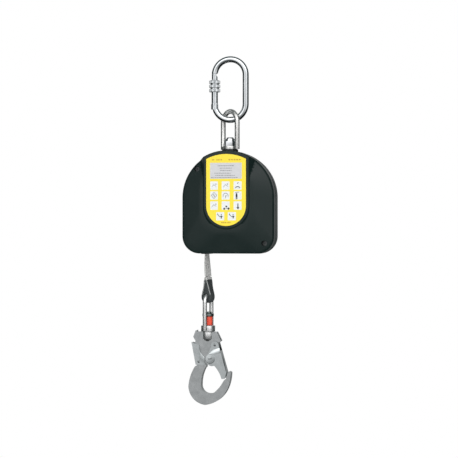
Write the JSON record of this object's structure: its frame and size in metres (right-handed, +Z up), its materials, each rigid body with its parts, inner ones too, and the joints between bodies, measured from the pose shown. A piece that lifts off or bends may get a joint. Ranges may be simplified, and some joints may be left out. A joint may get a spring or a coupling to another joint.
{
  "type": "self-retracting lifeline",
  "caption": "Fall-arrest block with carabiner, swivel bail, moulded housing, spring drum, retracting webbing, load indicator and double-action snap hook.",
  "frame": {"origin": "top of the carabiner's opening, where an anchor carries it", "axes": "+Z up along the hanging load path, +X across the housing's face to the right, +Y from its front to its back"},
  "size_m": [0.1506, 0.0682, 0.5642],
  "materials": {
    "plated_steel": "bright zinc plate",
    "spring_steel": "blued",
    "satin_steel": "satin",
    "hook_steel": "satin zinc",
    "dark_steel": "blackened",
    "machined_steel": "machined",
    "aluminium": "machined",
    "bronze": "machined",
    "housing_plastic": "fine grain",
    "black_plastic": "moulded",
    "black_rubber": "matt",
    "friction_lining": "sintered",
    "label_print": "printed",
    "webbing": "woven",
    "sleeve_fabric": "woven",
    "indicator_red": "moulded"
  },
  "bodies": {
    "anchor": {"carabiner_body": "plated_steel", "carabiner_gate_pin": "plated_steel"},
    "gate": {"carabiner_gate": "plated_steel", "carabiner_latch_pin": "plated_steel", "carabiner_gate_spring": "spring_steel"},
    "lock_sleeve": {"carabiner_lock_sleeve": "plated_steel"},
    "bail": {"top_bail": "satin_steel", "swivel_bolt": "satin_steel", "swivel_nut": "satin_steel", "swivel_washer": "satin_steel"},
    "housing": {"front_shell": "housing_plastic", "rear_shell": "housing_plastic", "rim_gasket": "black_rubber", "label_plate": "label_print", "housing_screws": "dark_steel", "screw_inserts": "bronze", "line_guide": "black_plastic", "top_collar": "black_rubber", "swivel_bush": "bronze", "frame_front_plate": "machined_steel", "frame_rear_plate": "machined_steel", "frame_top_block": "machined_steel", "frame_spacers": "machined_steel", "frame_bolts": "dark_steel", "drum_bearings": "bronze", "brake_housing": "machined_steel", "friction_discs": "friction_lining", "pressure_plate": "machined_steel", "disc_spring": "spring_steel", "brake_nut": "machined_steel", "spring_cup": "black_plastic", "power_spring": "spring_steel", "spring_cover": "aluminium"},
    "drum": {"main_shaft": "machined_steel", "shaft_clips": "dark_steel", "drum_hub": "aluminium", "webbing_anchor_pin": "dark_steel", "drum_front_flange": "aluminium", "drum_rear_flange": "aluminium", "webbing_pack": "webbing", "pawl_carrier": "machined_steel", "pawl_pins": "dark_steel", "pawl_springs": "spring_steel"},
    "pawl_one": {"pawl_a": "dark_steel"},
    "pawl_two": {"pawl_b": "dark_steel"},
    "brake_ring": {"ratchet_ring": "dark_steel"},
    "line_end": {"webbing_strap": "webbing", "webbing_loop": "webbing", "loop_sleeve": "sleeve_fabric"},
    "hook_link": {"hook_bail": "satin_steel"},
    "hook": {"swivel_stud": "satin_steel", "stud_washer": "dark_steel", "load_indicator_sleeve": "indicator_red", "swivel_cup": "satin_steel", "hook_body": "hook_steel", "hook_rivets": "hook_steel", "gate_spring": "spring_steel", "lever_spring": "spring_steel"},
    "hook_gate": {"hook_gate": "hook_steel"},
    "hook_lever": {"lock_lever": "hook_steel"}
  },
  "joints": [
    {"name": "carabiner_gate_hinge", "type": "hinge", "parent": "anchor", "child": "gate", "pos_m": [-0.0255, 0, -0.071], "axis": [0, -1, 0], "range_deg": [-22, 0], "stiffness_Nm_per_rad": 0.3, "springref_deg": 28.65},
    {"name": "lock_sleeve_slide", "type": "slide", "parent": "gate", "child": "lock_sleeve", "axis": [0, 0, 1], "range_m": [0, 0.0105]},
    {"name": "bail_swing", "type": "hinge", "parent": "anchor", "child": "bail", "pos_m": [0, 0, -0.0885], "axis": [1, 0, 0], "range_deg": [-18, 18]},
    {"name": "housing_swivel", "type": "hinge", "parent": "bail", "child": "housing", "pos_m": [0, 0, -0.15], "axis": [0, 0, 1], "continuous": true},
    {"name": "line_payout", "type": "slide", "parent": "housing", "child": "line_end", "axis": [0, 0, -1], "range_m": [0, 2], "stiffness_N_per_m": 3, "springref_m": -5, "deforming": ["webbing_strap"]},
    {"name": "drum_spin", "type": "hinge", "parent": "housing", "child": "drum", "pos_m": [-0.003, 0, -0.216], "axis": [0, -1, 0], "range_deg": [0, 4680]},
    {"name": "pawl_one_rock", "type": "hinge", "parent": "drum", "child": "pawl_one", "pos_m": [-0.003, 0, -0.201], "axis": [0, -1, 0], "range_deg": [0, 9], "stiffness_Nm_per_rad": 0.002, "springref_deg": -34.38},
    {"name": "pawl_two_rock", "type": "hinge", "parent": "drum", "child": "pawl_two", "pos_m": [-0.003, 0, -0.231], "axis": [0, -1, 0], "range_deg": [0, 9]},
    {"name": "brake_slip", "type": "hinge", "parent": "housing", "child": "brake_ring", "pos_m": [-0.003, 0, -0.216], "axis": [0, -1, 0], "continuous": true},
    {"name": "hook_link_swing", "type": "hinge", "parent": "line_end", "child": "hook_link", "pos_m": [-0.0364, 0, -0.3754], "axis": [0.2079, 0.9781, 0], "range_deg": [-20, 20]},
    {"name": "hook_swivel", "type": "hinge", "parent": "hook_link", "child": "hook", "pos_m": [-0.0364, 0, -0.43], "axis": [0, 0, 1], "continuous": true},
    {"name": "hook_gate_hinge", "type": "hinge", "parent": "hook", "child": "hook_gate", "pos_m": [-0.0236, 0, -0.4569], "axis": [0, -1, 0], "range_deg": [-28, 0], "stiffness_Nm_per_rad": 0.25, "springref_deg": 34.38},
    {"name": "lock_lever_hinge", "type": "hinge", "parent": "hook", "child": "hook_lever", "pos_m": [-0.0506, 0, -0.4843], "axis": [0, -1, 0], "range_deg": [-7, 0]}
  ],
  "couplings": [
    {"joint": "drum_spin", "follows": "line_payout", "rad_per_m": 40.841},
    {"joint": "pawl_two_rock", "follows": "pawl_one_rock", "ratio": 1},
    {"joint": "lock_lever_hinge", "follows": "hook_gate_hinge", "ratio": 0.25}
  ]
}
